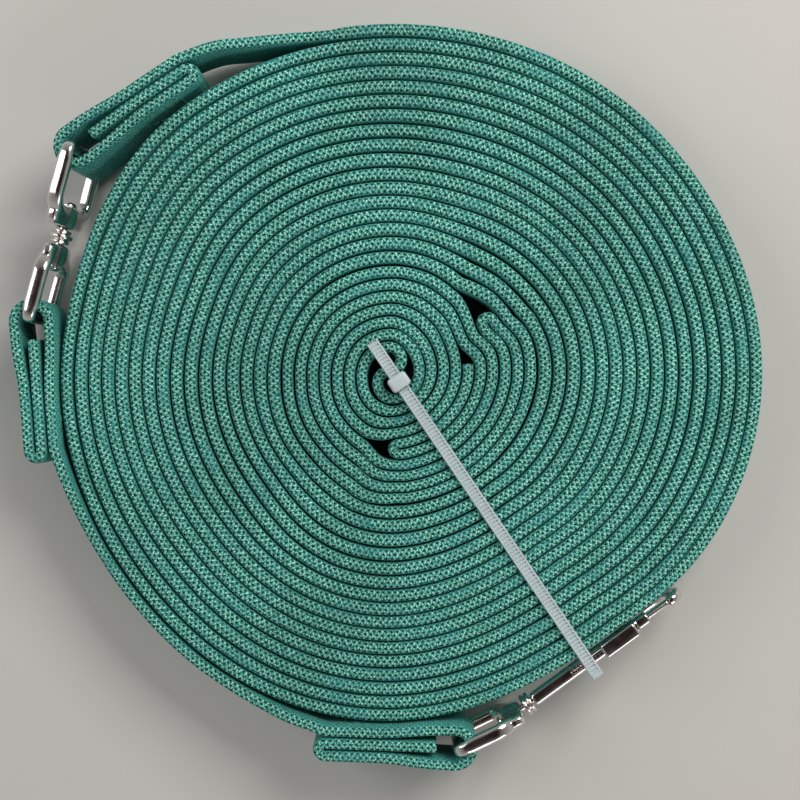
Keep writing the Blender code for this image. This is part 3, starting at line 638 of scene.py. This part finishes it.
def lifted(path, bar, full, none):
    """How far each point rides above the floor: all of END_LIFT up to one distance from a bar, and nothing
    past the other."""
    distances = np.linalg.norm(np.array(path) - np.array(bar), axis=1)
    return END_LIFT * (1.0 - smoothstep(distances, full, none))


# ---- webbing ----------------------------------------------------------------------------------------------
# Each point of the section: across, in half thicknesses; height, in mm in from the edge; the depth of the
# weave's pits there, as a share of PIT_DEPTH; and which sections have them, even (0) or odd (1) ones.
TOP_EDGE = ((-1.0, 2.6, 0.0, 0), (-0.95, 1.15, 0.0, 0), (-0.8, 0.42, 0.5, 0), (-0.6, 0.1, 1.0, 0),
            (-0.3, 0.0, -0.3, 0), (0.0, 0.0, 1.0, 1), (0.3, 0.0, -0.3, 0), (0.6, 0.1, 1.0, 0),
            (0.8, 0.42, 0.5, 0), (0.95, 1.15, 0.0, 0), (1.0, 2.6, 0.0, 0))
FACE_HEIGHTS = (12.0, 6.0)
BOTTOM_EDGE = ((1.0, 1.4, 0.0, 0), (0.75, 0.25, 0.0, 0), (0.0, 0.0, 1.0, 1), (-0.75, 0.25, 0.0, 0),
               (-1.0, 1.4, 0.0, 0))


def unit(vectors):
    return vectors / np.linalg.norm(vectors, axis=1)[:, None]


def resampled(path, columns, step):
    """Even steps along a plan path; every column of values is carried along."""
    points = np.array(path)
    lengths = np.concatenate(([0.0], np.cumsum(np.linalg.norm(np.diff(points, axis=0), axis=1))))
    count = int(round(lengths[-1] / step))
    at = np.linspace(0.0, lengths[-1], count + 1)
    out = np.stack([np.interp(at, lengths, points[:, k]) for k in range(2)], axis=1)
    out[1:-1] = (out[:-2] + 2 * out[1:-1] + out[2:]) / 4
    return out, [np.interp(at, lengths, column) for column in columns], lengths[-1]


def webbing(name, path, thick, lift, tilt, leaning, finish):
    """A strap on edge with a woven relief along its edges, and a weave map. Returns it and its length."""
    points, (thick, lift, tilt), length = resampled(path, (thick, lift, tilt), WEAVE_PITCH / 2)
    count = len(points)
    ahead = np.vstack((points[1:] - points[:-1], points[-1:] - points[-2:-1]))
    behind = np.vstack((ahead[:1], ahead[:-1]))
    tangents = unit(unit(ahead) + unit(behind))
    normals = np.stack((-tangents[:, 1], tangents[:, 0]), axis=1)
    odd = np.arange(count) % 2
    rows = [(a, WEB_WIDTH - h * MM, p, f) for a, h, p, f in TOP_EDGE]
    rows += [(1.0, h * MM, 0.0, 0) for h in FACE_HEIGHTS]
    rows += [(a, h * MM, -p, f) for a, h, p, f in BOTTOM_EDGE]
    rows += [(-1.0, h * MM, 0.0, 0) for h in reversed(FACE_HEIGHTS)]
    chance = np.random.default_rng(7)
    verts = np.empty((count, len(rows), 3))
    for k, (across, height, pit, phase) in enumerate(rows):
        relief = np.where(odd == phase, -PIT_DEPTH * pit, 0.25 * PIT_DEPTH * pit)
        relief = relief + chance.normal(0.0, 0.03 * MM, count) * (pit != 0)
        z = height + lift + relief
        offset = across * thick / 2 + np.tan(tilt) * (height - WEB_WIDTH / 2)
        at = points + normals * offset[:, None]
        if leaning:
            at = at + lean_away(at, z)
        verts[:, k, :2] = at + np.array(ROLL_CENTRE)
        verts[:, k, 2] = np.maximum(z, 0.0)
    size = len(rows)
    base = np.arange(count - 1)[:, None] * size
    ring = np.arange(size)[None, :]
    after = (ring + 1) % size
    quads = np.stack((base + ring, base + after, base + size + after, base + size + ring), axis=2)
    quads = quads.reshape(-1, 4)[:, ::-1]
    faces = quads.tolist() + [list(range(size)), list(range((count - 1) * size, count * size))[::-1]]
    mesh = bpy.data.meshes.new(name)
    mesh.from_pydata(verts.reshape(-1, 3).tolist(), [], faces)
    mesh.update()
    add_weave_map(mesh, rows, count)
    return add_mesh(name, mesh, finish), length


def add_weave_map(mesh, rows, count):
    """Cells along the strap, and mm across its edges; from 3 mm up on its faces."""
    size = len(rows)
    starts, ends = [], []
    for k in range(size):
        pair = (rows[k], rows[(k + 1) % size])
        flat = all(abs(a) < 0.9 for a, _, _, _ in pair)
        values = [a * WEB_THICKNESS / 2 / MM if flat else 3.0 + (WEB_WIDTH - h) / MM for a, h, _, _ in pair]
        starts.append(values[0])
        ends.append(values[1])
    starts, ends = np.array(starts), np.array(ends)
    along = np.arange(count - 1) / 2.0
    u = np.stack([along + 0.5, along + 0.5, along, along], axis=1)
    u = np.repeat(u[:, None, :], size, axis=1)
    v = np.stack([starts, ends, ends, starts], axis=1)
    v = np.repeat(v[None, :, :], count - 1, axis=0)
    values = np.stack((u, v), axis=3).reshape(-1, 2)
    cap = np.array([(a, 3.0 + (WEB_WIDTH - h) / MM) for a, h, _, _ in rows])
    caps = np.vstack((cap, cap[::-1]))
    layer = mesh.uv_layers.new(name="weave")
    layer.data.foreach_set("uv", np.vstack((values, caps)).astype(np.float32).ravel())


def room(angle, line, top):
    """How much space a strand of the winding has between its neighbours."""
    if angle < HAND_LOOP_END + 40:
        return min(spacing(angle), spacing(angle + 360))
    inner = line[angle] - top[angle - 360]
    outer = line[angle + 360] - top[angle] if angle + 360 <= LINE_END else spacing(angle + 360)
    return min(inner, outer, WEB_THICKNESS + GAP + 0.6 * MM)


def long_line(finish, line, beside, top):
    core = core_path(line, beside, top)
    coil = strand(line, LINE_START, LINE_END)
    end = line_end_path(coil)
    path = core + coil[:-1] + end
    angles = ray_angles(LINE_START, LINE_END)[:-1]
    directions = [math.degrees(math.atan2(y, x)) % 360 for x, y in core]
    thick = [spacing(direction) - GAP for direction in directions]
    thick += [room(angle, line, top) - GAP for angle in angles]
    thick += [WEB_THICKNESS] * len(end)
    swing = np.array(angles, dtype=float)
    share = smoothstep(swing, *SWAY_START) * (1 - smoothstep(swing, *SWAY_STOP))
    phase = np.radians(swing) + swing / 360 * 0.6
    tilt = LEAN * share * np.sin(phase)
    heave = HEAVE * share * (0.5 + 0.5 * np.sin(2 * phase + 0.02 * swing ** 0.8))
    lift = [0.0] * len(core) + list(heave) + list(lifted(end, UPPER_BAR, *LINE_END_FADE))
    tilts = [0.0] * len(core) + list(tilt) + [0.0] * len(end)
    return webbing("long_line", path, thick, lift, tilts, True, finish)


def leader(finish, line):
    path = leader_path(line)
    lift = np.maximum(lifted(path, LOWER_BAR, *LEADER_FADE), lifted(path, EYE_BAR, *LEADER_FADE))
    count = len(path)
    return webbing("leader", path, [WEB_THICKNESS] * count, lift, [0.0] * count, False, finish)


def straps():
    line, beside, top = winding()
    finish = webbing_material()
    long_piece, long_length = long_line(finish, line, beside, top)
    short_piece, short_length = leader(finish, line)
    for piece, node, length in ((long_piece, "main_strap", long_length),
                                (short_piece, "leader_strap", short_length)):
        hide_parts(node)
        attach(piece, "roll")


# ---- stitching --------------------------------------------------------------------------------------------
def stitches(bm, start, end, count, place):
    """Adds a row of separate stitches between two points of a sewn face, in mm."""
    start, end = np.array(start, dtype=float), np.array(end, dtype=float)
    run = (end - start) / count
    length = np.linalg.norm(run)
    along = run / length
    side = np.array((-along[1], along[0]))
    for k in range(count):
        middle = start + run * (k + 0.5)
        rings = []
        for step in range(7):
            t = -1 + step / 3
            height = STITCH_RADIUS * math.sqrt(max(1 - 0.98 * t * t, 0.02))
            width = STITCH_RADIUS * math.sqrt(max(1 - 0.9 * t * t, 0.1))
            ring = []
            for corner in range(8):
                angle = math.tau * corner / 8
                x, z = middle + along * t * length * 0.44 + side * width * math.cos(angle)
                ring.append(bm.verts.new(place(x * MM, height * math.sin(angle) * MM, z * MM)))
            rings.append(ring)
        skin(bm, rings)


def box_stitch(name, node, bar, angle, side, leaning, finish):
    """A box and cross of stitches on both faces of a sewn end."""
    half_l, half_h = SEAM_LENGTH / 2 / MM, SEAM_HEIGHT / 2 / MM
    surface_at = SEWN_PITCH + WEB_THICKNESS / 2
    bm = bmesh.new()
    for face in (1, -1):
        def place(x, y, z, face=face):
            at = end_point(bar, angle, side, SEAM_CENTRE + x, face * surface_at + y)
            height = AXIS_HEIGHT + z
            if leaning:
                at = at + lean_away(at, height)
            return (at[0] + ROLL_CENTRE[0], at[1] + ROLL_CENTRE[1], height)
        corners = ((-half_l, -half_h), (half_l, -half_h), (half_l, half_h), (-half_l, half_h))
        for start, end in zip(corners, corners[1:] + corners[:1]):
            stitches(bm, start, end, 8 if start[1] == end[1] else 6, place)
        stitches(bm, corners[0], corners[2], 9, place)
        stitches(bm, corners[1], corners[3], 9, place)
    piece = add_object(name, bm, finish)
    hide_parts(node)
    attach(piece, "roll")


def stitching():
    finish = thread_material()
    box_stitch("line_end_stitches", "line_end_seam", UPPER_BAR, UPPER_END_ANGLE, 1, True, finish)
    box_stitch("leader_upper_stitches", "leader_upper_seam", LOWER_BAR, LOWER_END_ANGLE, 1, False, finish)
    box_stitch("leader_lower_stitches", "leader_lower_seam", EYE_BAR, EYE_END_ANGLE, -1, False, finish)
    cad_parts["hand_loop_seam"].data.materials[0] = finish


# ---- hardware ---------------------------------------------------------------------------------------------
def finished(piece, body, slot, *nodes):
    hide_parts(*nodes)
    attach(piece, body)


def cast_loop(name, node, frame_, reach, bore, finish):
    """A cast rectangular loop: rounded-square bars round a window, shoulders, and a boss for its pin."""
    top = LOOP_HALF_HEIGHT / MM
    far = reach / MM
    corner = 1.9
    half = arc((far - corner, top - corner), corner, 0, 90, 6)
    shoulder = ((far - corner, top), (15.0, top), (10.8, top), (8.0, top - 1.5), (6.5, top - 4.6),
                (6.2, top - 7.5))
    half += [tuple(p) for p in smooth_curve(shoulder, 5)[1:]]
    path = half + [(x, -z) for x, z in reversed(half)]
    widths = [2.1 - 0.32 * float(smoothstep(x, far - 3.4, far - 1.9)) for x, z in path]
    bm = bmesh.new()
    swept(bm, path, widths, 3.0, 20, frame_, closed=True, thickness=1.75)
    swept(bm, ((2.7, 0.0), (3.6, 0.0), (5.2, 0.0), (8.3, 0.0)), (1.8, 1.95, 1.95, 1.95), 4.0, 20, frame_,
          thickness=(9.8, 11.2, 11.6, 11.8))
    turned(bm, ((2.4, 2.2), (2.6, 2.7), (3.1, 3.0), (6.4, 3.2), (8.1, 2.9), (8.4, 2.3)), 40, frame_)
    piece = add_object(name, bm, finish)
    fuse(piece, 0.28 * MM, 3)
    hole = bmesh.new()
    turned(hole, ((1.0, bore), (10.0, bore)), 40, frame_)
    cut(piece, [add_object("hole", hole, None)])
    finished(piece, "roll", "nickel", node)


def turned_piece(name, node, body, profile, frame_, finish):
    bm = bmesh.new()
    turned(bm, profile, 48, frame_)
    piece = add_object(name, bm, finish)
    piece.data.set_sharp_from_angle(angle=math.radians(50))
    finished(piece, body, "nickel", node)


def rounded_ridges(low, ridges, bore):
    """A ring's profile: round ridges (centre, half width, height) on a low cylinder, with a bore."""
    start, end = ridges[0][0] - ridges[0][1], ridges[-1][0] + ridges[-1][1]
    profile = [(start, bore), (start, low)]
    for centre, half, height in ridges:
        for step in range(9):
            angle = math.pi * step / 8
            profile.append((centre - half * math.cos(angle), low + (height - low) * math.sin(angle)))
    profile += [(end, low), (end, bore), (start, bore)]
    kept = [profile[0]]
    for point in profile[1:]:
        if math.dist(point, kept[-1]) > 0.01 or point == profile[-1]:
            kept.append(point)
    return kept


def connector(finish):
    middle = ((UPPER_BAR[0] + LOWER_BAR[0]) / 2, (UPPER_BAR[1] + LOWER_BAR[1]) / 2)
    angle = math.atan2(UPPER_BAR[1] - LOWER_BAR[1], UPPER_BAR[0] - LOWER_BAR[0])
    reach = math.dist(UPPER_BAR, LOWER_BAR) / 2
    frame_ = axis_frame(middle, angle)
    cast_loop("upper_swivel_loop", "connector_upper_loop", axis_frame(middle, angle, -UPPER_LEAN), reach, 1.5,
              finish)
    cast_loop("lower_swivel_loop", "connector_lower_loop", axis_frame(middle, angle + math.pi), reach, 1.5,
              finish)
    dome = [(8.7, 1.2), (8.7, 2.1)]
    dome += [(8.9 + 1.3 * math.sin(math.radians(a)), 0.15 + 2.05 * math.cos(math.radians(a)))
             for a in (0, 20, 40, 60, 75, 88)]
    profile = [(-x, r) for x, r in reversed(dome)] + dome
    turned_piece("swivel_pin", "connector_rivet", "connector_pin", profile, frame_, finish)
    ridges = rounded_ridges(2.2, ((-1.5, 0.5, 2.7), (0.0, 0.95, 3.4), (1.5, 0.5, 2.7)), 1.5)
    turned_piece("swivel_ring", "connector_collar", "connector_pin", ridges, frame_, finish)


def snap_loop(finish):
    direction = polar(math.degrees(SNAP_ANGLE), 1.0)
    pivot = np.array(SNAP_CENTRE) - direction * 5.4 * MM
    towards = np.array(EYE_BAR) - pivot
    reach = np.linalg.norm(towards) + 5.4 * MM
    start = np.array(EYE_BAR) - towards / np.linalg.norm(towards) * reach
    frame_ = axis_frame(start, math.atan2(towards[1], towards[0]))
    cast_loop("snap_loop", "snap_eye", frame_, reach, 1.9, finish)


def snap_case(frame_, finish):
    """The casting: a slotted barrel, and the hook that swings down from it and up to its tip."""
    curve = ((30.0, -0.6), (33.6, -4.2), (34.9, -7.4), (37.2, -10.2), (41.0, -11.8), (45.4, -12.1),
             (49.4, -10.6), (51.9, -7.6), (52.5, -4.0), (52.1, -1.6), (50.9, -0.2), (49.3, 0.05))
    path = [tuple(p) for p in smooth_curve(curve, 6)]
    t = np.linspace(0, 1, len(path))
    half = 1.7 - 0.12 * np.sin(math.pi * t) ** 2
    bm = bmesh.new()
    outline = ((1.7, 1.6), (2.0, 1.95), (2.4, 2.05), (37.4, 2.05), (38.0, 1.95), (38.4, 1.8), (41.4, 1.8),
               (41.8, 1.7), (42.0, 1.5))
    swept(bm, [(x, 0.0) for x, r in outline], [r for x, r in outline], 3.2, 32, frame_)
    swept(bm, path, half, 2.2, 24, frame_)
    piece = add_object("snap_case", bm, finish)
    fuse(piece, 0.22 * MM, 3)
    tools = []
    for start, end, radius in ((6.0, 43.0, 1.35), (1.0, 7.0, 1.25), (48.1, 49.8, 1.25)):
        tool = bmesh.new()
        turned(tool, ((start, radius), (end, radius)), 32, frame_)
        tools.append(add_object("bore", tool, None))
    tools.append(add_object("slot", block((22.4, 2.0, 3.0), (26.0, 0, 1.5), frame_, 0.0), None))
    cut(piece, tools)
    piece.data.set_sharp_from_angle(angle=math.radians(40))
    finished(piece, "snap", "nickel", "snap_body")


def slider(frame_, finish):
    """The bolt: its rod, its neck, and its thumb block."""
    rod = bmesh.new()
    turned(rod, ((20.4, 0.7), (20.6, 1.0), (48.7, 1.0), (49.1, 0.85), (49.3, 0.5)), 32, frame_)
    piece = add_object("snap_slider", rod, finish)
    length, _, height = KNOB_SIZE
    middle = (KNOB_START + length / 2, 0, THUMB_FLOOR + height / 2)
    join([piece, add_object("neck", block((8.6, 1.4, 2.9), (31.7, 0, 1.45), frame_, 0.15), finish),
          add_object("thumb", block(KNOB_SIZE, middle, frame_, 0.75), finish)])
    piece.data.set_sharp_from_angle(angle=math.radians(50))
    finished(piece, "bolt", "nickel", "snap_bolt")


def join(parts):
    """Joins meshes into the first object."""
    bm = bmesh.new()
    for part in parts:
        bm.from_mesh(part.data)
    bm.to_mesh(parts[0].data)
    bm.free()
    parts[0].data.shade_smooth()
    for part in parts[1:]:
        bpy.data.objects.remove(part, do_unlink=True)


def coil_spring(frame_, finish):
    turns, steps, radius, wire = 6, 20, 0.85, 0.2
    start, end = SPRING_SPAN
    bm = bmesh.new()
    rings = []
    count = turns * steps
    pitch = (end - start) / turns
    for i in range(count + 1):
        angle = math.tau * i / steps
        c, s = math.cos(angle), math.sin(angle)
        centre = Vector((start + (end - start) * i / count, radius * c, radius * s))
        tangent = Vector((pitch / math.tau, -radius * s, radius * c)).normalized()
        outward = Vector((0, c, s))
        across = tangent.cross(outward)
        ring = []
        for k in range(10):
            turn = math.tau * k / 10
            offset = (outward * math.cos(turn) + across * math.sin(turn)) * wire
            ring.append(bm.verts.new(frame_ @ ((centre + offset) * MM)))
        rings.append(ring)
    skin(bm, rings)
    piece = add_object("bolt_coil", bm, finish)
    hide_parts("bolt_spring")
    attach(piece, "snap")
    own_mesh(piece)


def snap(finish):
    frame_ = axis_frame(SNAP_CENTRE, SNAP_ANGLE)
    snap_loop(finish)
    stud = [(-10.2, 0.5), (-10.1, 1.0), (-9.9, 1.5), (-9.6, 1.85), (-9.3, 2.0), (-9.0, 2.0), (-9.0, 0.95),
            (5.8, 0.95)]
    turned_piece("snap_pin", "snap_stud", "snap", stud, frame_, finish)
    ridges = rounded_ridges(2.5, ((-0.72, 0.66, 3.3), (0.72, 0.66, 3.2)), 1.3)
    turned_piece("snap_ring", "snap_collar", "snap", ridges, frame_, finish)
    snap_case(frame_, finish)
    slider(frame_, finish)
    coil_spring(frame_, steel_material())


# ---- cable tie --------------------------------------------------------------------------------------------
def tie_frame():
    place = Matrix.Translation((TIE_HEAD[0] + ROLL_CENTRE[0], TIE_HEAD[1] + ROLL_CENTRE[1], 0))
    return place @ Matrix.Rotation(TIE_ANGLE, 4, "Z")


def tie_band(finish):
    """The band, with rails along its edges and fine teeth between them on its outer face."""
    frame_ = tie_frame()
    reach = TIE_REACH
    path = [(0, 21.2), (0, 12.0), (0, 3.0), (0.6, 1.4), (2.2, 0.7), (6.0, 0.7), (reach - 6.4, 0.7),
            (reach - 3.4, 0.7), (reach - 1.5, 1.0), (reach - 0.3, 2.3), (reach, 4.2), (reach, 17.4),
            (reach - 0.4, 19.5), (reach - 1.9, 20.7), (reach - 4.0, 21.0), (60, 21.05), (25, 21.0),
            (12, 21.4), (6, 22.2), (2.6, 22.35), (-2.6, 22.35), (-8, 22.3), (-13.4, 21.9)]
    points = resampled(smooth_curve(path, 8), (), BAND_STEP)[0]
    half, rail, low, tooth = TIE_THICKNESS / 2 / MM, 1.2, 0.42, 0.4
    wide = TIE_WIDTH / 2 / MM
    bm = bmesh.new()
    rings = []
    for i, point in enumerate(points):
        tangent = points[min(i + 1, len(points) - 1)] - points[max(i - 1, 0)]
        tangent /= np.linalg.norm(tangent)
        outward = np.array((-tangent[1], tangent[0])) * -1
        base = half - low + (tooth if i % 4 < 2 else 0.0)
        ring = []
        for across, out in ((-wide, -half + 0.2), (-wide, half - 0.25), (-wide + 0.2, half), (-rail, half),
                            (-rail + 0.08, base), (rail - 0.08, base), (rail, half), (wide - 0.2, half),
                            (wide, half - 0.25), (wide, -half + 0.2), (wide - 0.2, -half),
                            (-wide + 0.2, -half)):
            x, z = point + outward * out
            ring.append(bm.verts.new(frame_ @ (Vector((x, across, z)) * MM)))
        rings.append(ring)
    skin(bm, rings)
    piece = add_object("tie_band", bm, finish)
    piece.data.set_sharp_from_angle(angle=math.radians(40))
    return piece


def tie_head(finish):
    frame_ = tie_frame()
    length, _, height = HEAD_SIZE
    piece = add_object("tie", block(HEAD_SIZE, (0, 0, HEAD_FLOOR + height / 2), frame_, 0.9), finish)
    opening = block((length + 2, TIE_WIDTH / MM + 0.5, 1.7), (0, 0, 22.35), frame_, 0.0)
    cut(piece, [add_object("opening", opening, None)])
    return piece


def cable_tie():
    finish = nylon_material()
    head = tie_head(finish)
    join([head, tie_band(finish)])
    head.data.set_sharp_from_angle(angle=math.radians(40))
    finished(head, "roll", "nylon", "cable_tie")


# ---- floor ------------------------------------------------------------------------------------------------
def floor():
    bm = bmesh.new()
    bmesh.ops.create_grid(bm, x_segments=4, y_segments=4, size=3.0)
    made = add_object("floor", bm, floor_material())
    made.location.z = -0.02 * MM


def build():
    bpy.context.scene.view_settings.view_transform = "Standard"
    camera()
    straps()
    stitching()
    nickel = nickel_material()
    connector(nickel)
    snap(nickel)
    cable_tie()
    floor()
    lights()


build()
